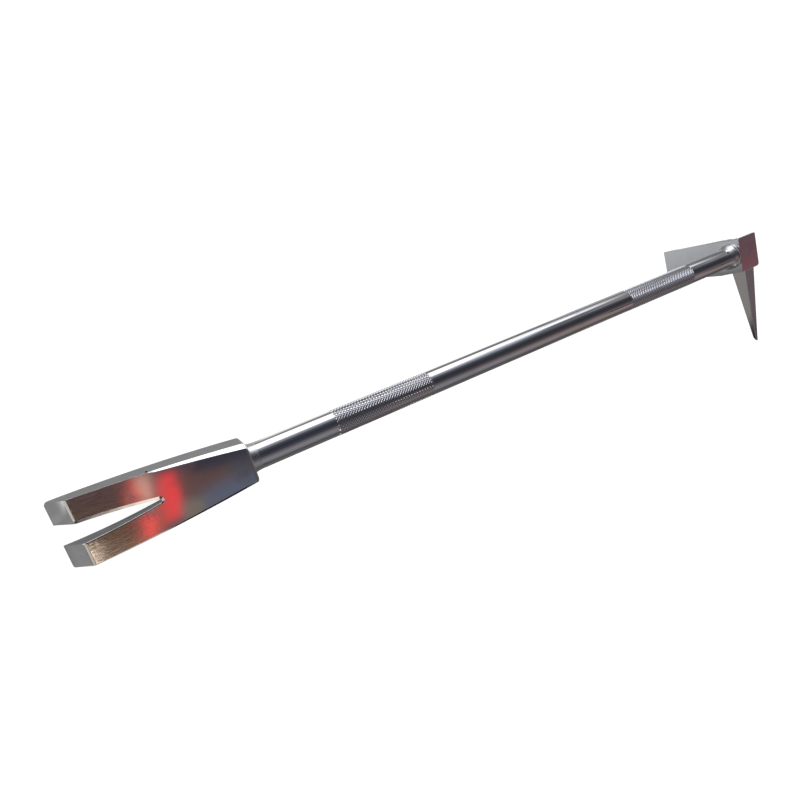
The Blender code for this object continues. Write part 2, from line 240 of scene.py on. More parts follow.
def metal_material(name):
    """A bare metal, still plain. It comes back with its tree."""
    material = bpy.data.materials.new(name)
    material.use_nodes = True
    material.node_tree.nodes["Principled BSDF"].inputs["Metallic"].default_value = 1.0
    return material, material.node_tree


def set_surface(tree, height, roughness, colour):
    """Gives a metal its height in metres, its roughness and its colour."""
    shader = tree.nodes["Principled BSDF"]
    bump = tree.nodes.new("ShaderNodeBump")
    bump.inputs["Distance"].default_value = 1.0
    feed(tree, height, bump.inputs["Height"])
    feed(tree, bump.outputs["Normal"], shader.inputs["Normal"])
    feed(tree, roughness, shader.inputs["Roughness"])
    feed(tree, colour, shader.inputs["Base Color"])


def chrome_material(name, polish, dull, waves, marks, bloom, marked_zone=None):
    """Chrome plating. polish and dull are its least and most roughness.

    waves, marks and bloom are the values of the three groups. marked_zone is from where to where along the
    bar the marks come up, then from where to where they fade out.
    """
    material, tree = metal_material(name)
    place = place_on_bar(tree)
    wave_out = use_group(tree, polishing_waves, {"Place": place, **waves})
    line_out = use_group(tree, fine_lines, {"Place": place, **marks})
    bloom_out = use_group(tree, handling_bloom, {"Place": place, **bloom})
    line_height, line_mask = line_out["Height"], line_out["Mask"]
    if marked_zone:
        along = split(tree, place)["X"]
        rise = fade(tree, along, *marked_zone[:2], MARKS_LEFT_BEFORE_ZONE, 1.0)
        fall = fade(tree, along, *marked_zone[2:], 1.0, MARKS_LEFT_PAST_ZONE)
        zone = calculate(tree, "MULTIPLY", rise, fall)
        line_height = calculate(tree, "MULTIPLY", line_height, zone)
        line_mask = calculate(tree, "MULTIPLY", line_mask, zone)
    height = calculate(tree, "ADD", wave_out["Height"], line_height)
    wear = calculate(tree, "MAXIMUM", bloom_out["Mask"], line_mask)
    colour = blend_colours(tree, bloom_out["Mask"], (*CHROME_COLOUR, 1.0), (*DULL_CHROME_COLOUR, 1.0))
    colour = blend_colours(tree, line_mask, colour, (*MARKED_CHROME_COLOUR, 1.0))
    set_surface(tree, height, fade(tree, wear, 0.0, 1.0, polish, dull), colour)
    return material


def new_piece(name, bm):
    """An object from a mesh."""
    mesh = bpy.data.meshes.new(name)
    bmesh.ops.recalc_face_normals(bm, faces=bm.faces)
    bm.to_mesh(mesh)
    bm.free()
    piece = bpy.data.objects.new(name, mesh)
    bpy.context.scene.collection.objects.link(piece)
    return piece


def finish_piece(piece, material, node):
    """Lays a piece down with the bar, gives it its material, and lets it ride in place of its solid."""
    piece.data.transform(bar_pose)
    piece.data.materials.clear()
    piece.data.materials.append(material)
    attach(piece, "root")
    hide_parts(node)


def shade_by_angle(piece, degrees):
    """Smooth shading that breaks at sharp edges and leaves the broad ground faces quite flat."""
    for face in piece.data.polygons:
        face.use_smooth = face.area < BROAD_FACE_AREA
    piece.data.set_sharp_from_angle(angle=math.radians(degrees))
    weighting = piece.modifiers.new("flat_faces_lead", "WEIGHTED_NORMAL")
    weighting.keep_sharp = True


def shaft_point(x, side, radius):
    """A point on the shaft. side counts round it from the top and need not be whole."""
    angle = 2 * math.pi * side / SHAFT_SIDES
    return x, radius * math.sin(angle), radius * math.cos(angle)


def join_hoops(bm, hoop, following):
    """A smooth band of faces between two hoops."""
    for index in range(len(hoop)):
        after = (index + 1) % len(hoop)
        bm.faces.new((hoop[index], hoop[after], following[after], following[index])).smooth = True


def roll_knurl(bm, first, last, depth):
    """Rolls diamonds between two hoops. Each diamond is a flat top with a slope down to every side."""
    start, end = first[0].co.x, last[0].co.x
    rows = 2 * round((end - start) / KNURL_ROW / 2)
    pitch = (end - start) / rows
    low = SHAFT_RADIUS - depth * (1 - KNURL_PEAK_SHARE)
    high = SHAFT_RADIUS + depth * KNURL_PEAK_SHARE
    crossings = {(0, side): point for side, point in enumerate(first)}
    crossings.update({(rows, side): point for side, point in enumerate(last)})
    for row in range(1, rows):
        for side in range(row % 2, SHAFT_SIDES, 2):
            crossings[row, side] = bm.verts.new(shaft_point(start + row * pitch, side, low))
    for row in range(1, rows):
        for side in range((row + 1) % 2, SHAFT_SIDES, 2):
            feet, tops = [], []
            for along, around in ((-1, 0), (0, 1), (1, 0), (0, -1)):
                feet.append(crossings[row + along, (side + around) % SHAFT_SIDES])
                top_x = start + (row + along * KNURL_TOP_SHARE) * pitch
                tops.append(bm.verts.new(shaft_point(top_x, side + around * KNURL_TOP_SHARE, high)))
            bm.faces.new(tops)
            for corner in range(4):
                after = (corner + 1) % 4
                bm.faces.new((feet[corner], feet[after], tops[after], tops[corner]))
    for end_row, next_row in ((0, 1), (rows, rows - 1)):
        for side in range(1, SHAFT_SIDES, 2):
            foot = crossings[next_row, side]
            for around in (-1, 1):
                beside = crossings[end_row, (side + around) % SHAFT_SIDES]
                bm.faces.new((crossings[end_row, side], beside, foot))


def make_shaft():
    """The shaft, from the fork's spigot to the head's."""
    bm = bmesh.new()
    fork_end, head_end = FORK_LENGTH - FORK_SPIGOT_LENGTH, HEAD_FACE_X + HEAD_SPIGOT_LENGTH
    stations = [
        (fork_end, SPIGOT_RADIUS - SPIGOT_CHAMFER),
        (fork_end + SPIGOT_CHAMFER, SPIGOT_RADIUS),
        (FORK_LENGTH + CLEARANCE, SPIGOT_RADIUS),
        (FORK_LENGTH + CLEARANCE, SHAFT_RADIUS),
        *((x, SHAFT_RADIUS) for grip in KNURLED_GRIPS for x in grip[:2]),
        (HEAD_FACE_X - CLEARANCE, SHAFT_RADIUS),
        (HEAD_FACE_X - CLEARANCE, SPIGOT_RADIUS),
        (head_end - SPIGOT_CHAMFER, SPIGOT_RADIUS),
        (head_end, SPIGOT_RADIUS - SPIGOT_CHAMFER),
    ]
    hoops = []
    for x, radius in stations:
        hoops.append([bm.verts.new(shaft_point(x, side, radius)) for side in range(SHAFT_SIDES)])
    knurl_depths = {grip[0]: grip[2] for grip in KNURLED_GRIPS}
    for (x, _), hoop, following in zip(stations, hoops, hoops[1:]):
        if x in knurl_depths:
            roll_knurl(bm, hoop, following, knurl_depths[x])
        else:
            join_hoops(bm, hoop, following)
    bm.faces.new(hoops[0])
    bm.faces.new(hoops[-1])
    return new_piece("shaft_plated", bm)


shaft_chrome = chrome_material(
    "shaft_chrome",
    polish=0.05,
    dull=0.16,
    waves={"Length": 0.045, "Depth": 0.00006},
    marks={"Stretch": (0.08, 1.0, 1.0), "Spacing": 0.0012, "Depth": 0.000002, "Cover": 0.35},
    bloom={"Size": 0.03, "Cover": 0.45},
)
# The knurl's grooves, which lie under the plain shaft's surface, are darkened and tinted blue: painted shade
# in the recesses with a painted bluish reflection.
tree = shaft_chrome.node_tree
groove_parts = split(tree, place_on_bar(tree))
offsets = [calculate(tree, "ABSOLUTE", groove_parts[way]) for way in ("Y", "Z")]
squares = [calculate(tree, "POWER", offset, 2.0) for offset in offsets]
from_axis = calculate(tree, "SQRT", calculate(tree, "ADD", *squares))
groove_floor = SHAFT_RADIUS - max(grip[2] for grip in KNURLED_GRIPS) * (1 - KNURL_PEAK_SHARE)
groove = fade(tree, from_axis, groove_floor, SHAFT_RADIUS - KNURL_SHADE_CLEARANCE, 1.0, 0.0)
colour_socket = tree.nodes["Principled BSDF"].inputs["Base Color"]
plain_colour = colour_socket.links[0].from_socket
feed(tree, blend_colours(tree, groove, plain_colour, (*GROOVE_SHADE_COLOUR, 1.0)), colour_socket)
shaft = make_shaft()
shaft.data.set_sharp_from_angle(angle=SHAFT_SHARP_ANGLE)
finish_piece(shaft, shaft_chrome, "shaft")


# Fork. The real one has broad flat faces, a slot between its two tines and a chisel bevel at the tips. It is
# taken as a steel forging that is pinned and welded on to the shaft and plated with it.
FORK_TIP_WIDTH = 0.060
FORK_NECK_WIDTH = 0.0366
FORK_TIP_THICKNESS = 0.021
FORK_NECK_THICKNESS = 0.036
FORK_SIDE_BULGE = 0.0020
FORK_BEVEL_LENGTH = 0.017
FORK_EDGE_LAND = 0.0015
FORK_CREASE_ROUNDING = 0.0022
FORK_EDGE_RADIUS = 0.0013
FORK_FACE_EDGE_RADIUS = 0.0004
FORK_TIP_ROUNDING = 0.0004
FORK_FAR_CHAMFER = ((0.079, 0.0005), (0.085, 0.0021), (0.1595, 0.0061))
FORK_FAR_CHAMFER_TURN = ((0.074, math.radians(78)), (0.084, math.radians(50)))
FORK_NEAR_CHAMFER = ((0.060, 0.0020), (0.1595, 0.0042))
FORK_NEAR_CHAMFER_TURN = math.radians(48)
FORK_SHOULDER_ROUNDING = 0.0014
FORK_FAR_CORNERS = (0.0035, 0.0030)
FORK_NEAR_CORNERS = (0.0016, 0.0014)
FORK_STATIONS = 32
SLOT_DEPTH = 0.081
SLOT_MOUTH_WIDTH = 0.0185
SLOT_ROOT_RADIUS = 0.0014
SLOT_ROOT_STEPS = 12
SLOT_SIDE_BULGE = 0.0014
SLOT_FAR_EDGE_WIDTH = 0.0027
SLOT_FAR_EDGE_DROP = 0.0015
SLOT_NEAR_EDGE_RADIUS = 0.0012
SLOT_RELIEF_HEIGHT = 0.018
SLOT_RELIEF_START = 0.03
SLOT_RELIEF_ANGLE = math.radians(26)
SLOT_STATIONS = 20
NICK_PLACE = 0.0785
NICK_DEPTH = 0.0005
NICK_RADIUS = 0.0012
NICK_SHARES = (0.5, 1.5)
PIN_HOLE_RADIUS = 0.0033
PIN_WALL_ENTRY = 0.0030
FORK_PIN_OFFSETS = (0.018, 0.040)
FORK_BORE_END = FORK_LENGTH * 1.1
ROD_SIDES = 48
CORNER_STEPS = 6
ROUNDING_STEPS = 4
LEAST_CORNER_SHARE = 0.125
# The most of a thickness that one edge takes up, and the most of a narrow face that one corner does.
MOST_EDGE_SHARE = 0.4
MOST_CORNER_SHARE = 0.3
# Close sections: each side of the bevel's crease, and as shares of a corner from the shoulder and the tips.
CREASE_STEPS = 4
CREASE_CLEARANCE = 1.2
SHOULDER_SHARES = (0.15, 0.3, 0.5, 0.75)
TIP_SHARES = (0.05, 0.15, 0.3)


def fillet_polygon(corners, inset=0.0):
    """A convex polygon drawn in by inset, with an arc at each corner. A corner is (x, y, radius)."""
    points = []
    for index, (x, y, radius) in enumerate(corners):
        here = Vector((x, y))
        into = (here - Vector(corners[index - 1][:2])).normalized()
        away = (Vector(corners[(index + 1) % len(corners)][:2]) - here).normalized()
        inward = Vector((-into.y - away.y, into.x + away.x)) / (1 + into.dot(away))
        radius = max(radius - inset, radius * LEAST_CORNER_SHARE)
        centre = here + inward * (inset + radius)
        start = math.atan2(-into.x, into.y)
        sweep = math.atan2(into.cross(away), into.dot(away))
        for step in range(CORNER_STEPS + 1):
            angle = start + sweep * step / CORNER_STEPS
            points.append(centre + radius * Vector((math.cos(angle), math.sin(angle))))
    return points


def rounded_end(ring_at, end, way, radius):
    """The rings that round off one end of a form. way is 1 where the form ends going up, and else -1."""
    rings = []
    for step in range(ROUNDING_STEPS + 1):
        angle = math.pi / 2 * step / ROUNDING_STEPS
        rings.append(ring_at(end - way * radius * (1 - math.sin(angle)), radius * (1 - math.cos(angle))))
    return rings if way > 0 else rings[::-1]


def loft(rings):
    """A closed mesh through rings that have as many points each."""
    bm = bmesh.new()
    hoops = [[bm.verts.new(point) for point in ring] for ring in rings]
    for hoop, following in zip(hoops, hoops[1:]):
        join_hoops(bm, hoop, following)
    bm.faces.new(hoops[0])
    bm.faces.new(hoops[-1])
    return bm


def round_rod(name, start, end, radius):
    """A plain rod between two points, for boring and drilling."""
    start, end = Vector(start), Vector(end)
    turn = (end - start).to_track_quat("Z", "Y").to_matrix().to_4x4()
    stand = Matrix.Translation((start + end) / 2) @ turn
    bm = bmesh.new()
    bmesh.ops.create_cone(
        bm,
        cap_ends=True,
        segments=ROD_SIDES,
        radius1=radius,
        radius2=radius,
        depth=(end - start).length,
        matrix=stand,
    )
    return new_piece(name, bm)


def shaped(piece, operation, tools):
    """Adds other forms to a piece or cuts them out of it, then clears them away."""
    for tool in tools:
        step = piece.modifiers.new(tool.name, "BOOLEAN")
        step.operation = operation
        step.object = tool
        step.solver = "EXACT"
    graph = bpy.context.evaluated_depsgraph_get()
    finished = bpy.data.meshes.new_from_object(piece.evaluated_get(graph))
    piece.modifiers.clear()
    piece.data = finished
    for tool in tools:
        bpy.data.objects.remove(tool)


def corner_draw(to_end, radius):
    """How far a rounded corner draws a side in, at a distance from the end of that side."""
    left = max(radius - to_end, 0.0)
    return radius - math.sqrt(radius ** 2 - left ** 2)


def between(stops, place):
    """The value at a place, in straight lines between stops of (place, value) and level past their ends."""
    way = math.copysign(1, stops[-1][0] - stops[0][0])
    for (start, first), (end, last) in zip(stops, stops[1:]):
        if (end - place) * way >= 0:
            break
    share = min(max((place - start) / (end - start), 0.0), 1.0)
    return first + (last - first) * share


def fork_half_width(x):
    """Half the fork's width. Its sides bow slightly outwards."""
    share = x / FORK_LENGTH
    taper = FORK_TIP_WIDTH + (FORK_NECK_WIDTH - FORK_TIP_WIDTH) * share
    return taper / 2 + 4 * FORK_SIDE_BULGE * share * (1 - share)


def fork_half_thickness(x):
    """Half the fork's thickness, which grows evenly towards the neck."""
    return (FORK_TIP_THICKNESS + (FORK_NECK_THICKNESS - FORK_TIP_THICKNESS) * x / FORK_LENGTH) / 2


def fork_top(x):
    """The height of the upper face. It falls to a thin edge over the bevel, past a rounded crease."""
    crease_height = fork_half_thickness(FORK_BEVEL_LENGTH)
    edge_height = FORK_EDGE_LAND - FORK_TIP_THICKNESS / 2
    bevel = edge_height + (crease_height - edge_height) * x / FORK_BEVEL_LENGTH
    flat = fork_half_thickness(x)
    overlap = max(FORK_CREASE_ROUNDING - abs(flat - bevel), 0.0)
    return min(bevel, flat) - overlap ** 2 / (4 * FORK_CREASE_ROUNDING)


def fork_stations(start, end, count):
    """Places along the fork: even steps, and close steps where the crease and the corners are rounded."""
    places = [start + (end - start) * step / count for step in range(count + 1)]
    steps = range(-CREASE_STEPS, CREASE_STEPS + 1)
    close = [FORK_BEVEL_LENGTH + FORK_CREASE_ROUNDING * step / CREASE_STEPS for step in steps]
    corners = [end - max(FORK_FAR_CORNERS) * share for share in SHOULDER_SHARES]
    corners += [start + max(FORK_FAR_CORNERS) * share for share in TIP_SHARES]
    clear = FORK_CREASE_ROUNDING * CREASE_CLEARANCE
    kept = [place for place in places if abs(place - FORK_BEVEL_LENGTH) > clear]
    return sorted(kept + close + corners)


def fork_ring(x, inset=0.0):
    """The fork's cross-section. Its upper edges are chamfered, more widely towards the neck."""
    to_ends = [max(to_end, 0.0) for to_end in (x, FORK_LENGTH - x)]
    far, near = [
        fork_half_width(x) - sum(corner_draw(to_end, radius) for to_end, radius in zip(to_ends, radii))
        for radii in (FORK_FAR_CORNERS, FORK_NEAR_CORNERS)
    ]
    high, low = fork_top(x), -fork_half_thickness(x)
    most = (high - low) * MOST_EDGE_SHARE
    far_width = min(between(FORK_FAR_CHAMFER, x), most)
    near_width = min(between(FORK_NEAR_CHAMFER, x), most)
    far_turn = between(FORK_FAR_CHAMFER_TURN, x)
    far_in, far_down = far_width * math.cos(far_turn), far_width * math.sin(far_turn)
    near_in = near_width * math.cos(FORK_NEAR_CHAMFER_TURN)
    near_down = near_width * math.sin(FORK_NEAR_CHAMFER_TURN)
    far_radius = min(FORK_FACE_EDGE_RADIUS, far_width * MOST_CORNER_SHARE)
    near_radius = min(FORK_FACE_EDGE_RADIUS, near_width * MOST_CORNER_SHARE)
    corners = [
        (far, low, min(FORK_EDGE_RADIUS, most)),
        (far, high - far_down, far_radius),
        (far - far_in, high, far_radius),
        (-near + near_in, high, near_radius),
        (-near, high - near_down, near_radius),
        (-near, low, min(FORK_EDGE_RADIUS, most)),
    ]
    return [(x, point.x, point.y) for point in fillet_polygon(corners, inset)]


def slot_half_width(x):
    """Half the slot's width. Its sides bow slightly, so that the tines narrow towards their tips."""
    share = min(max(x / (SLOT_DEPTH - SLOT_ROOT_RADIUS), 0.0), 1.0)
    straight = SLOT_MOUTH_WIDTH / 2 + (SLOT_ROOT_RADIUS - SLOT_MOUTH_WIDTH / 2) * share
    return straight + 4 * SLOT_SIDE_BULGE * share * (1 - share)


def slot_outline():
    """The slot seen from above: its points, each with the way out of the slot there."""
    root_x = SLOT_DEPTH - SLOT_ROOT_RADIUS
    places = fork_stations(-FORK_TIP_ROUNDING, root_x, SLOT_STATIONS)
    near_wall = [(x, slot_half_width(x), 0.0, 1.0) for x in places]
    root = []
    for step in range(1, SLOT_ROOT_STEPS):
        angle = math.pi / 2 - math.pi * step / SLOT_ROOT_STEPS
        x = root_x + SLOT_ROOT_RADIUS * math.cos(angle)
        root.append((x, SLOT_ROOT_RADIUS * math.sin(angle), math.cos(angle), math.sin(angle)))
    far_wall = [(x, -y, 0.0, -1.0) for x, y, _, _ in reversed(near_wall)]
    return near_wall + root + far_wall


def slot_ring(height_at, widening_at):
    """The slot's outline at a height and with a widening that depend on the place on the fork."""
    ring = []
    for x, y, way_x, way_y in slot_outline():
        on_fork = max(x, 0.0)
        widening = widening_at(on_fork, y)
        ring.append((x + way_x * widening, y + way_y * widening, height_at(on_fork, y)))
    return ring


def slot_edge(x, y, step):
    """One step down the slot's upper edge, as its widening and its drop. It is rounded on the tine by the
    pike's side and a narrow flat on the other one.
    """
    far = min(max((y / SLOT_ROOT_RADIUS + 1) / 2, 0.0), 1.0)
    share = step / ROUNDING_STEPS
    angle = math.pi / 2 * step / ROUNDING_STEPS
    widening = SLOT_NEAR_EDGE_RADIUS * (1 - math.sin(angle)) * (1 - far)
    widening += SLOT_FAR_EDGE_WIDTH * (1 - share) * far
    drop = SLOT_NEAR_EDGE_RADIUS * (1 - math.cos(angle)) * (1 - far) + SLOT_FAR_EDGE_DROP * share * far
    thickness = fork_top(x) + fork_half_thickness(x)
    room = min(thickness * MOST_EDGE_SHARE / SLOT_FAR_EDGE_DROP, 1.0)
    return widening * room, drop * room


def slot_relief(x):
    """The height of the bevel under the slot's edges. It grows from next to nothing at the tips."""
    return SLOT_RELIEF_HEIGHT * min(SLOT_RELIEF_START + x / SLOT_DEPTH, 1.0)


def slot_relief_width(x):
    """How far that bevel draws the slot's lower edges back."""
    return slot_relief(x) * math.tan(SLOT_RELIEF_ANGLE)


def make_slot_cutter():
    """What is taken out between the tines, with the slot's upper edges eased and its lower ones bevelled."""
    rings = [slot_ring(lambda x, y: FORK_NECK_THICKNESS, lambda x, y: slot_edge(x, y, 0)[0])]
    for step in range(ROUNDING_STEPS + 1):
        rings.append(slot_ring(
            lambda x, y: fork_top(x) - slot_edge(x, y, step)[1],
            lambda x, y: slot_edge(x, y, step)[0],
        ))
    rings.append(slot_ring(lambda x, y: slot_relief(x) - fork_half_thickness(x), lambda x, y: 0.0))
    rings.append(slot_ring(lambda x, y: -fork_half_thickness(x), lambda x, y: slot_relief_width(x)))
    rings.append(slot_ring(lambda x, y: -FORK_NECK_THICKNESS, lambda x, y: slot_relief_width(x)))
    return new_piece("slot_cutter", loft(rings))


def make_fork():
    """The fork, from the tips to the shoulder, cut for the slot, the spigot and the pins."""
    rings = rounded_end(fork_ring, 0.0, -1, FORK_TIP_ROUNDING)
    inner_end = FORK_LENGTH - FORK_SHOULDER_ROUNDING * 2
    rings += [fork_ring(x) for x in fork_stations(FORK_TIP_ROUNDING * 4, inner_end, FORK_STATIONS)]
    rings += rounded_end(fork_ring, FORK_LENGTH, 1, FORK_SHOULDER_ROUNDING)
    fork = new_piece("fork_plated", loft(rings))
    bore_start = FORK_LENGTH - FORK_SPIGOT_LENGTH - CLEARANCE
    bore = round_rod("fork_bore", (bore_start, 0, 0), (FORK_BORE_END, 0, 0), SPIGOT_RADIUS + CLEARANCE)
    nick_y = fork_half_width(NICK_PLACE) + NICK_RADIUS - NICK_DEPTH
    nick_ends = [(NICK_PLACE, nick_y, fork_half_thickness(NICK_PLACE) * share) for share in NICK_SHARES]
    nick = round_rod("nick", *nick_ends, NICK_RADIUS)
    tools = [make_slot_cutter(), bore, nick]
    for offset in FORK_PIN_OFFSETS:
        x = FORK_LENGTH - offset
        top = SPIGOT_RADIUS + PIN_WALL_ENTRY + CLEARANCE
        tools.append(round_rod("pin_hole", (x, 0, -FORK_NECK_THICKNESS), (x, 0, top), PIN_HOLE_RADIUS))
    shaped(fork, "DIFFERENCE", tools)
    return fork


fork_chrome = chrome_material(
    "fork_chrome",
    polish=0.07,
    dull=0.13,
    waves={"Length": 0.03, "Depth": 0.00005},
    marks={"Stretch": (0.16, 1.0, 1.0), "Spacing": 0.0014, "Depth": 0.000026, "Cover": 0.60},
    bloom={"Size": 0.018, "Cover": 0.45},
    marked_zone=(FORK_BEVEL_LENGTH, FORK_BEVEL_LENGTH * 1.15, 0.038, 0.080),
)
fork = make_fork()
shade_by_angle(fork, degrees=27)
finish_piece(fork, fork_chrome, "fork")


# Head. The real one is taken as a single forging: a block with a flat adze below it, a thick web behind the
# adze's root and a square tapering pike at its side. Its faces are ground and its edges soft.
HEAD_DEPTH = 0.036
HEAD_WIDTH = 0.0445
HEAD_THICKNESS = 0.031
HEAD_CROWN = 0.004
HEAD_LOW_DEPTH = 0.026
HEAD_LOW_WIDTH = 0.030
HEAD_EDGE_RADIUS = 0.0014
HEAD_REAR_RADIUS = 0.0042
ADZE_REACH = 0.0915
ADZE_ROOT_WIDTH = 0.044
ADZE_PIKE_SIDE_FLARE = 0.0025
ADZE_EDGE_WIDTH = 0.042
ADZE_ROOT_THICKNESS = 0.010
ADZE_LEAN = 0.010
ADZE_GRIND_LENGTH = 0.012
ADZE_GRIND_THICKNESS = 0.0065
ADZE_EDGE_LAND = 0.0022
ADZE_EDGE_RADIUS = 0.0009
WEB_DROP = 0.016
WEB_WIDTH = 0.024
WEB_FRONT_INSET = 0.005
WEB_FOOT_DEPTH = 0.0025
PIKE_REACH = 0.125
PIKE_ROOT_DEPTH = 0.0195
PIKE_ROOT_THICKNESS = 0.0185
PIKE_FACE_INSET = 0.0055
PIKE_BACK_SHIFT = 0.001
PIKE_TIP_DROP = 0.002
PIKE_TIP_SIZE = 0.004
PIKE_NOSE_LENGTH = 0.005
PIKE_NOSE_DEPTH = 0.001
PIKE_NOSE_THICKNESS = 0.003
PIKE_END_INSET = 0.00025
PIKE_END_ROUNDING = 0.0003
PIKE_EDGE_RADIUS = 0.0012
HEAD_PIN_OFFSETS = (0.0060, 0.0170)
HEAD_BORE_START = HEAD_FACE_X * 0.98
HEAD_ROOT_Z = -HEAD_THICKNESS / 2
HEAD_CROWN_Z = HEAD_THICKNESS / 2 - HEAD_CROWN
PIKE_ROOT_Y = -HEAD_WIDTH / 2
PIKE_NOSE_Y = PIKE_NOSE_LENGTH - PIKE_REACH


def box_corners(front, back, low, high, radius):
    """The corners of a rectangle, for fillet_polygon."""
    return [(front, low, radius), (back, low, radius), (back, high, radius), (front, high, radius)]


def block_ring(z, inset=0.0):
    """The head's block cut level. It narrows downwards from under its crown."""
    share = max(0.0, (HEAD_CROWN_Z - z) / (HEAD_CROWN_Z - HEAD_ROOT_Z))
    side = (HEAD_WIDTH + (HEAD_LOW_WIDTH - HEAD_WIDTH) * share) / 2
    rear = HEAD_FACE_X + HEAD_DEPTH + (HEAD_LOW_DEPTH - HEAD_DEPTH) * share
    front = HEAD_FACE_X - inset
    corners = [
        (front, -side, HEAD_EDGE_RADIUS),
        (rear, -side, HEAD_REAR_RADIUS),
        (rear, side, HEAD_EDGE_RADIUS),
        (front, side, HEAD_EDGE_RADIUS),
    ]
    return [(point.x, point.y, z) for point in fillet_polygon(corners, inset)]


def make_block():
    """The block, from its foot over the adze to its top."""
    rings = rounded_end(block_ring, HEAD_ROOT_Z, -1, HEAD_EDGE_RADIUS)
    rings += [block_ring(HEAD_CROWN_Z)]
    rings += rounded_end(block_ring, HEAD_THICKNESS / 2, 1, HEAD_EDGE_RADIUS)
    return new_piece("head_plated", loft(rings))


def adze_front(z):
    """The place of the adze's face towards the fork. The blade leans towards the fork below the block."""
    return HEAD_FACE_X - ADZE_LEAN * max(0.0, (HEAD_ROOT_Z - z) / (HEAD_ROOT_Z + ADZE_REACH))


def adze_ring(z, inset=0.0):
    """The adze's blade cut level. It narrows towards its edge, mostly on the pike's side."""
    far = between([(HEAD_ROOT_Z, ADZE_ROOT_WIDTH / 2), (-ADZE_REACH, ADZE_EDGE_WIDTH / 2)], z)
    flare = between([(HEAD_CROWN_Z, 0.0), (HEAD_ROOT_Z, ADZE_PIKE_SIDE_FLARE), (-ADZE_REACH, 0.0)], z)
    thick_stops = [
        (HEAD_ROOT_Z, ADZE_ROOT_THICKNESS),
        (ADZE_GRIND_LENGTH - ADZE_REACH, ADZE_GRIND_THICKNESS),
        (-ADZE_REACH, ADZE_EDGE_LAND),
    ]
    thick = between(thick_stops, z)
    front = adze_front(z)
    radius = min(ADZE_EDGE_RADIUS, thick * MOST_EDGE_SHARE)
    corners = box_corners(front, front + thick, -far - flare, far, radius)
    return [(point.x, point.y, z) for point in fillet_polygon(corners, inset)]


def make_adze():
    """The adze's blade, from its edge up into the block."""
    rings = rounded_end(adze_ring, -ADZE_REACH, -1, ADZE_EDGE_LAND / 4)
    middle_z = (HEAD_ROOT_Z - ADZE_REACH) / 2
    heights = (ADZE_GRIND_LENGTH - ADZE_REACH, middle_z, HEAD_ROOT_Z, HEAD_CROWN_Z)
    rings += [adze_ring(z) for z in heights]
    return new_piece("adze_form", loft(rings))


def make_web():
    """The web under the block, rooted inside the blade."""
    foot_z = HEAD_ROOT_Z - WEB_DROP
    half = WEB_WIDTH / 2
    deep = HEAD_LOW_DEPTH - WEB_FRONT_INSET - HEAD_EDGE_RADIUS
    rings = []
    for z, front, depth in (
        (foot_z, adze_front(foot_z) + WEB_FRONT_INSET, WEB_FOOT_DEPTH),
        (HEAD_ROOT_Z, HEAD_FACE_X + WEB_FRONT_INSET, deep),
        (HEAD_ROOT_Z + HEAD_EDGE_RADIUS * 2, HEAD_FACE_X + WEB_FRONT_INSET, deep),
    ):
        radius = min(HEAD_EDGE_RADIUS, depth * MOST_EDGE_SHARE)
        corners = box_corners(front, front + depth, -half, half, radius)
        rings.append([(point.x, point.y, z) for point in fillet_polygon(corners)])
    return new_piece("web_form", loft(rings))


def pike_ring(y, inset=0.0):
    """The pike cut across. It tapers straight from the block to a short nose."""
    root_front = HEAD_FACE_X + PIKE_FACE_INSET
    root_back = root_front + PIKE_ROOT_DEPTH
    root_high = HEAD_THICKNESS / 2 - HEAD_EDGE_RADIUS / 2
    root_low = root_high - PIKE_ROOT_THICKNESS
    tip_back = root_back + PIKE_BACK_SHIFT
    tip_middle = (root_high + root_low) / 2 - PIKE_TIP_DROP
    tip_high = tip_middle + PIKE_TIP_SIZE / 2
    nose_front, end_front = tip_back - PIKE_TIP_SIZE, tip_back - PIKE_NOSE_DEPTH
    nose_low, end_low = tip_middle - PIKE_TIP_SIZE / 2, tip_high - PIKE_NOSE_THICKNESS
    front = between([(PIKE_ROOT_Y, root_front), (PIKE_NOSE_Y, nose_front), (-PIKE_REACH, end_front)], y)
    back = between([(PIKE_ROOT_Y, root_back), (-PIKE_REACH, tip_back)], y)
    high = between([(PIKE_ROOT_Y, root_high), (-PIKE_REACH, tip_high)], y)
    low = between([(PIKE_ROOT_Y, root_low), (PIKE_NOSE_Y, nose_low), (-PIKE_REACH, end_low)], y)
    radius = min(PIKE_EDGE_RADIUS, min(back - front, high - low) * MOST_CORNER_SHARE)
    corners = box_corners(front, back, low, high, radius)
    return [(point.x, y, point.y) for point in fillet_polygon(corners, inset)]


def make_pike():
    """The pike, from its end into the middle of the block."""
    rings = [pike_ring(-PIKE_REACH, PIKE_END_INSET)]
    rings += [pike_ring(y) for y in (PIKE_END_ROUNDING - PIKE_REACH, PIKE_NOSE_Y, PIKE_ROOT_Y, 0.0)]
    return new_piece("pike_form", loft(rings))


def make_head():
    """The head in one piece, bored for the shaft's spigot and drilled for the pins."""
    head = make_block()
    shaped(head, "UNION", [make_adze(), make_web(), make_pike()])
    bore_end = HEAD_FACE_X + HEAD_SPIGOT_LENGTH + CLEARANCE
    bore = round_rod("head_bore", (HEAD_BORE_START, 0, 0), (bore_end, 0, 0), SPIGOT_RADIUS + CLEARANCE)
    tools = [bore]
    for offset in HEAD_PIN_OFFSETS:
        x = HEAD_FACE_X + offset
        deep_end = -SPIGOT_RADIUS - PIN_WALL_ENTRY - CLEARANCE
        tools.append(round_rod("pin_hole", (x, HEAD_WIDTH, 0), (x, deep_end, 0), PIN_HOLE_RADIUS))
    shaped(head, "DIFFERENCE", tools)
    return head


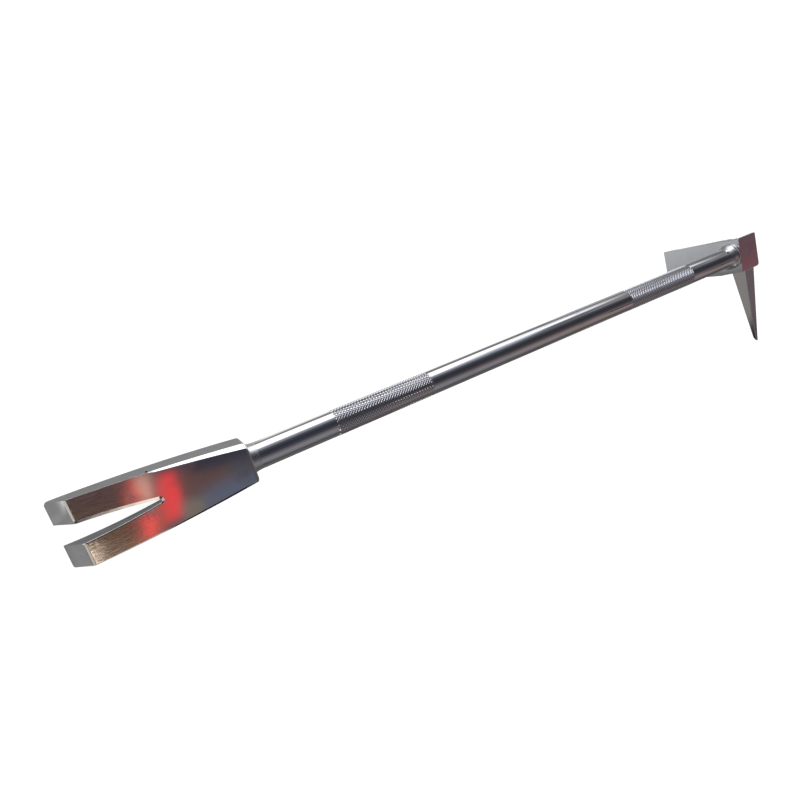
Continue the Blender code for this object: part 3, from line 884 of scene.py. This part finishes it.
head_chrome = chrome_material(
    "head_chrome",
    polish=0.10,
    dull=0.18,
    waves={"Length": 0.02, "Depth": 0.00005},
    marks={"Stretch": (1.0, 1.0, 0.06), "Spacing": 0.0014, "Depth": 0.000006, "Cover": 0.36},
    bloom={"Size": 0.016, "Cover": 0.40},
)
head = make_head()
shade_by_angle(head, degrees=32)
finish_piece(head, head_chrome, "head")


# Welds. The photograph shows a ring where the shaft enters the fork and another at the head. They are read
# as weld, dressed smooth and plated over: a hollow fillet at the fork and a full round bead at the head.
WELD_SIDES = 72
FORK_WELD_PROFILE = (
    (0.0000, 0.0015),
    (0.0010, 0.0010),
    (0.0022, 0.0007),
    (0.0038, 0.0004),
    (0.0056, 0.00015),
    (0.0080, 0.0),
)
HEAD_WELD_PROFILE = (
    (0.0000, 0.0030),
    (0.0008, 0.0038),
    (0.0028, 0.0041),
    (0.0050, 0.0036),
    (0.0072, 0.0020),
    (0.0092, 0.0007),
    (0.0125, 0.0),
)
WELD_RIPPLE = 0.00001
WELD_SHARP_ANGLE = math.radians(50)


def soften(profile):
    """A profile with its corners cut off twice over, which rounds it."""
    for _ in range(2):
        cut = [profile[0]]
        for (x, height), (next_x, next_height) in zip(profile, profile[1:]):
            cut.append((x * 0.75 + next_x * 0.25, height * 0.75 + next_height * 0.25))
            cut.append((x * 0.25 + next_x * 0.75, height * 0.25 + next_height * 0.75))
        profile = cut + [profile[-1]]
    return profile


def make_ring(name, wall_x, way, profile):
    """A ring of weld round the shaft. The profile runs from its wall outwards as (distance, height)."""
    bm = bmesh.new()
    hoops = []
    for distance, height in ((0.0, -CLEARANCE), *profile, (profile[-1][0], -CLEARANCE)):
        hoop = []
        for side in range(WELD_SIDES):
            angle = 2 * math.pi * side / WELD_SIDES
            ripple = WELD_RIPPLE * math.sin(5 * angle) * math.sin(2 * angle + 1) if height > 0 else 0.0
            radius = SHAFT_RADIUS + height + ripple
            place = wall_x + way * distance
            hoop.append(bm.verts.new((place, radius * math.sin(angle), radius * math.cos(angle))))
        hoops.append(hoop)
    for hoop, following in zip(hoops, hoops[1:] + hoops[:1]):
        join_hoops(bm, hoop, following)
    return new_piece(name, bm)


weld_chrome = chrome_material(
    "weld_chrome",
    polish=0.27,
    dull=0.36,
    waves={"Length": 0.006, "Depth": 0.000004},
    marks={"Stretch": (1.0, 0.3, 0.3), "Spacing": 0.0008, "Depth": 0.000001, "Cover": 0.4},
    bloom={"Size": 0.005, "Cover": 0.55},
)
for name, wall_x, way, profile in (
    ("fork_weld", FORK_LENGTH, 1, FORK_WELD_PROFILE),
    ("head_weld", HEAD_FACE_X, -1, HEAD_WELD_PROFILE),
):
    weld = make_ring(f"{name}_plated", wall_x, way, soften(profile))
    weld.data.shade_smooth()
    weld.data.set_sharp_from_angle(angle=WELD_SHARP_ANGLE)
    finish_piece(weld, weld_chrome, name)


# Pins. Four plain steel dowels, an assumption, hold the spigots: two driven up into the fork from below and
# two into the head from the side away from the pike. Only their ground ends show, just under the surface.
PIN_COLOUR = (0.42, 0.41, 0.42)
PIN_STAINED_COLOUR = (0.22, 0.20, 0.20)
PIN_ROUGHNESS = (0.30, 0.50)

pin_steel, tree = metal_material("pin_steel")
place = place_on_bar(tree)
end_marks = {"Place": place, "Stretch": (0.1, 1.0, 1.0), "Spacing": 0.0003, "Depth": 0.00001}
ends = use_group(tree, fine_lines, end_marks)
stain = use_group(tree, handling_bloom, {"Place": place, "Size": 0.002, "Cover": 0.5})
roughness = fade(tree, stain["Mask"], 0.0, 1.0, *PIN_ROUGHNESS)
colour = blend_colours(tree, stain["Mask"], (*PIN_COLOUR, 1.0), (*PIN_STAINED_COLOUR, 1.0))
set_surface(tree, ends["Height"], roughness, colour)
for name in ("fork_pin_1", "fork_pin_2", "head_pin_1", "head_pin_2"):
    pin = frame["nodes"][name]
    pin.data.materials.clear()
    pin.data.materials.append(pin_steel)


# Floor. A wide sheet of white paper. The camera sees it burnt out to white but for a breath of shadow. The
# chrome sees another sheet that glows with painted light and painted shadow, whose brightness and patches
# are set from the photograph's reflections.
FLOOR_HALF_SIZE = 12.0
# How bright the chrome sees the paper, as painted light and shade: stops across the bar, from the pike's
# side to the window.
PAPER_LIGHT_STOPS = (
    (-0.20, 0.11), (-0.06, 0.11), (0.00, 0.18), (0.05, 0.18),
    (0.062, 0.95), (0.080, 0.85), (0.096, 0.24), (0.13, 0.19),
)
# Past a slanting line the paper lies in the window's full light, which falls off towards the head.
SUNLIT_SLANT = 0.27
SUNLIT_STOPS = ((0.180, 0.0), (0.230, 1.0))
SUNLIT_FALL = ((0.10, 1.35), (0.60, 0.80), (0.72, 0.75), (0.86, 0.30), (1.05, 0.22))
# Patches of painted light and painted shadow on that paper: middle, half the size, softness and colour. The
# darkest are painted shadows of the bar, the fork and the pike's tip.
PAPER_PATCHES = {
    "painted_bar_shadow": ((0.00, 0.018), (0.31, 0.016), 0.02, (62, 60, 62)),
    "beyond_tips": ((-0.50, -0.04), (0.05, 0.08), 0.03, (142, 142, 142)),
    "beside_tips": ((-0.395, -0.05), (0.030, 0.05), 0.02, (206, 190, 174)),
    "fork_side": ((-0.36, 0.095), (0.09, 0.030), 0.03, (138, 138, 138)),
    "before_adze": ((0.30, 0.07), (0.11, 0.045), 0.04, (176, 178, 180)),
    "before_pike": ((0.27, -0.07), (0.06, 0.04), 0.04, (136, 132, 129)),
    "painted_pike_tip_shadow": ((0.28, -0.19), (0.05, 0.03), 0.04, (36, 32, 34)),
    "painted_fork_shadow": ((-0.31, -0.05), (0.035, 0.06), 0.02, (26, 24, 26)),
}
LIT_SHARE = 0.35
WHITE = (1.0, 1.0, 1.0, 1.0)
WHITE_GLOW = 0.92
SHADOW_PAPER_COLOUR = (0.25, 0.25, 0.25)


def grade(tree, value, stops):
    """A colour that changes smoothly from stop to stop of (value, colour) as a value rises."""
    colour = (*stops[0][1], 1.0)
    for (low, _), (high, following) in zip(stops, stops[1:]):
        colour = blend_colours(tree, fade(tree, value, low, high), colour, (*following, 1.0))
    return colour


def light(red, green, blue):
    """A colour as it looks, from 0 to 255, turned into light."""
    return tuple(((part / 255 + 0.055) / 1.055) ** 2.4 for part in (red, green, blue))


edge_values = {"Offset": 0.0, "Half size": 1.0, "Softness": 1.0}
soft_edge, given, result = new_group("soft_edge", edge_values, ["Mask"])
distance = calculate(soft_edge, "ABSOLUTE", given["Offset"])
outer = calculate(soft_edge, "ADD", given["Half size"], given["Softness"])
feed(soft_edge, fade(soft_edge, distance, given["Half size"], outer, 1.0, 0.0), result.inputs["Mask"])


def soft_patch(tree, offsets, halves, softness):
    """A mask that is 1 inside a soft-edged rectangle, from the offsets to its middle."""
    masks = []
    for offset, half in zip(offsets, halves):
        values = {"Offset": offset, "Half size": half, "Softness": softness}
        masks.append(use_group(tree, soft_edge, values)["Mask"])
    return calculate(tree, "MULTIPLY", *masks)


def lay_patch(tree, under, mask, colour):
    """The colour under a mask, with the patch's or the card's own colour over it."""
    return blend_colours(tree, mask, under, (*light(*colour), 1.0))


def glowing_paper(tree, lit_colour, glow_colour, strength):
    """Paper that takes light and shadow and glows by itself."""
    lit = tree.nodes.new("ShaderNodeBsdfDiffuse")
    feed(tree, lit_colour, lit.inputs["Color"])
    glow = tree.nodes.new("ShaderNodeEmission")
    feed(tree, glow_colour, glow.inputs["Color"])
    glow.inputs["Strength"].default_value = strength
    both = tree.nodes.new("ShaderNodeAddShader")
    feed(tree, glow.outputs[0], both.inputs[0])
    feed(tree, lit.outputs[0], both.inputs[1])
    return both.outputs[0]


bm = bmesh.new()
bmesh.ops.create_grid(bm, x_segments=1, y_segments=1, size=FLOOR_HALF_SIZE)
floor = new_piece("paper_floor", bm)
paper = bpy.data.materials.new("white_paper")
paper.use_nodes = True
tree = paper.node_tree
tree.nodes.remove(tree.nodes["Principled BSDF"])
floor_x, floor_y, _ = split(tree, tree.nodes.new("ShaderNodeTexCoord").outputs["Object"])
paper_light_and_shade = grade(tree, floor_y, [(place, (bright,) * 3) for place, bright in PAPER_LIGHT_STOPS])
slanted = calculate(tree, "SUBTRACT", floor_y, calculate(tree, "MULTIPLY", floor_x, SUNLIT_SLANT))
sunlit = grade(tree, slanted, [(place, (share,) * 3) for place, share in SUNLIT_STOPS])
sunlit_colour = grade(tree, floor_x, [(place, (bright,) * 3) for place, bright in SUNLIT_FALL])
paper_light_and_shade = blend_colours(tree, sunlit, paper_light_and_shade, sunlit_colour)
for middle, halves, softness, colour in PAPER_PATCHES.values():
    off_x = calculate(tree, "SUBTRACT", floor_x, middle[0])
    off_y = calculate(tree, "SUBTRACT", floor_y, middle[1])
    patch = soft_patch(tree, (off_x, off_y), halves, softness)
    paper_light_and_shade = lay_patch(tree, paper_light_and_shade, patch, colour)
lit_colour = stretch(tree, paper_light_and_shade, (LIT_SHARE,) * 3)
choice = tree.nodes.new("ShaderNodeMixShader")
feed(tree, tree.nodes.new("ShaderNodeLightPath").outputs["Is Camera Ray"], choice.inputs[0])
# The chrome sees the paper glowing with painted light and painted shadow; the camera sees it white.
feed(tree, glowing_paper(tree, lit_colour, paper_light_and_shade, 1 - LIT_SHARE), choice.inputs[1])
feed(tree, glowing_paper(tree, (*SHADOW_PAPER_COLOUR, 1.0), WHITE, WHITE_GLOW), choice.inputs[2])
feed(tree, choice.outputs[0], tree.nodes["Material Output"].inputs["Surface"])
floor.data.materials.append(paper)


# Light. A broad soft lamp beside the bar lights the paper. What the chrome reflects is a made-up room. Its
# shades and cards are set from the photograph's colours, mapped by the direction that the chrome looks in
# at each spot. The likeness holds from the photograph's camera alone.
LAMP_PLACE = Vector((0.00, 0.45, 1.30))
LAMP_SIZE = 0.9
LAMP_POWER = 19.0

lamp = bpy.data.objects.new("soft_lamp", bpy.data.lights.new("soft_lamp", "AREA"))
lamp.data.shape = "SQUARE"
lamp.data.size = LAMP_SIZE
lamp.data.energy = LAMP_POWER
lamp.matrix_world = Matrix.LocRotScale(LAMP_PLACE, LAMP_PLACE.to_track_quat("Z", "Y"), None)
lamp.visible_glossy = False
lamp.visible_camera = False
bpy.context.scene.collection.objects.link(lamp)

# The room is the same all along the bar. Its stops go round it in degrees: 0 is up, 90 the window side.
ROOM_STOPS = (
    (-98, (88, 84, 86)),
    (-84, (84, 79, 82)),
    (-62, (125, 123, 126)),
    (-44, (129, 128, 132)),
    (-26, (101, 99, 106)),
    (-8, (63, 62, 69)),
    (14, (48, 51, 60)),
    (34, (70, 74, 80)),
    (54, (146, 148, 156)),
    (68, (214, 216, 226)),
    (90, (330, 334, 348)),
)
# Cards on the walls: heading and height of the middle, half the size, all in degrees, softness and colour.
WALL_CARDS = {
    "far_curtain": ((10, 0), (26, 19), 15, (126, 123, 121)),
    "near_window": ((84, 6), (10, 10), 16, (330, 334, 348)),
    "window_shade": ((45.5, 28), (3, 9), 5, (102, 102, 106)),
    "dark_corner": ((136, 24), (21, 36), 5, (58, 58, 66)),
    "dusk_corner": ((-122, 28), (13, 36), 4, (66, 63, 68)),
    "cream_wall": ((-98.5, 15.5), (6, 6.5), 2, (262, 248, 230)),
    "cream_end": ((-172, 20), (22, 22), 9, (200, 194, 182)),
    "dark_door": ((-87.5, 2), (3.5, 14), 2, (24, 22, 24)),
}
# The light is warmer past the head: middle, half size and softness as for the cards, and the tint.
WARM_END = ((-14, 30), (26, 28), 18)
WARM_TINT = (1.12, 0.96, 0.86)
CEILING_LEAST_HEIGHT = 0.05
# Cards under the ceiling: middle and half size as shares of its height, lean, softness and colour.
CEILING_CARDS = {
    "umber_card": ((-0.450, -0.270), (0.160, 0.080), 0.0, 0.030, (98, 78, 63)),
    "dark_card": ((-0.335, -0.232), (0.045, 0.014), 0.0, 0.020, (82, 67, 68)),
    "cream_card": ((-0.450, -0.330), (0.087, 0.016), 0.0, 0.012, (346, 314, 280)),
    "rose_card": ((-0.300, -0.350), (0.040, 0.006), 0.0, 0.014, (170, 142, 120)),
    "red_card_far": ((-0.261, -0.250), (0.008, 0.020), 0.3, 0.010, (236, 92, 82)),
    "red_card_near": ((-0.263, -0.314), (0.009, 0.022), 0.3, 0.004, (274, 96, 90)),
    "pale_card": ((-0.246, -0.248), (0.005, 0.020), 0.1, 0.010, (226, 176, 158)),
    "tan_gap": ((-0.241, -0.306), (0.006, 0.026), 0.3, 0.006, (156, 90, 76)),
    "red_card": ((-0.214, -0.276), (0.009, 0.034), 0.15, 0.012, (256, 72, 74)),
    "olive_card": ((-0.186, -0.312), (0.014, 0.010), 0.0, 0.016, (120, 117, 106)),
    "brown_card": ((-0.150, -0.268), (0.030, 0.012), 0.0, 0.022, (98, 76, 70)),
    "slate_card": ((-0.118, -0.306), (0.036, 0.012), 0.0, 0.020, (94, 100, 118)),
    "navy_card": ((-0.100, -0.236), (0.060, 0.010), 0.0, 0.016, (50, 53, 66)),
    "mauve_card": ((1.260, -0.250), (0.080, 0.080), 0.0, 0.040, (104, 80, 86)),
    "rosewood_card": ((1.230, -0.300), (0.060, 0.030), 0.0, 0.040, (128, 80, 86)),
    "rose_strip": ((-0.330, -0.155), (0.290, 0.030), 0.0, 0.020, (146, 108, 110)),
    "plum_card": ((1.320, -0.560), (0.120, 0.120), 0.0, 0.040, (101, 89, 95)),
    "plum_shadow": ((1.320, -0.700), (0.120, 0.060), 0.0, 0.050, (38, 31, 36)),
}

room = bpy.data.worlds.new("studio_room")
bpy.context.scene.world = room
room.use_nodes = True
tree = room.node_tree
along, across, upward = split(tree, tree.nodes.new("ShaderNodeTexCoord").outputs["Generated"])
round_bar = calculate(tree, "MULTIPLY", calculate(tree, "ARCTAN2", across, upward), math.degrees(1))
height = calculate(tree, "MULTIPLY", calculate(tree, "ARCSINE", upward), math.degrees(1))
turn = calculate(tree, "MULTIPLY", calculate(tree, "ARCTAN2", across, along), math.degrees(1))
room_colour = grade(tree, round_bar, [(place, light(*colour)) for place, colour in ROOM_STOPS])


def wall_patch(middle, halves, softness):
    """A mask that is 1 inside a soft-edged rectangle on the walls."""
    off_turn = calculate(tree, "WRAP", calculate(tree, "SUBTRACT", turn, middle[0]), 180.0, -180.0)
    off_height = calculate(tree, "SUBTRACT", height, middle[1])
    return soft_patch(tree, (off_turn, off_height), halves, softness)


for middle, halves, softness, colour in WALL_CARDS.values():
    card = wall_patch(middle, halves, softness)
    room_colour = lay_patch(tree, room_colour, card, colour)
warmed_colour = stretch(tree, room_colour, WARM_TINT)
room_colour = blend_colours(tree, wall_patch(*WARM_END), room_colour, warmed_colour)
ceiling_height = calculate(tree, "MAXIMUM", upward, CEILING_LEAST_HEIGHT)
ceiling_x = calculate(tree, "DIVIDE", along, ceiling_height)
ceiling_y = calculate(tree, "DIVIDE", across, ceiling_height)
for middle, halves, lean, softness, colour in CEILING_CARDS.values():
    off_y = calculate(tree, "SUBTRACT", ceiling_y, middle[1])
    off_x = calculate(tree, "SUBTRACT", ceiling_x, middle[0])
    off_x = calculate(tree, "SUBTRACT", off_x, calculate(tree, "MULTIPLY", off_y, lean))
    card = soft_patch(tree, (off_x, off_y), halves, softness)
    room_colour = lay_patch(tree, room_colour, card, colour)
seen = tree.nodes.new("ShaderNodeLightPath").outputs["Is Camera Ray"]
room_colour = blend_colours(tree, seen, room_colour, WHITE)
feed(tree, room_colour, tree.nodes["Background"].inputs["Color"])
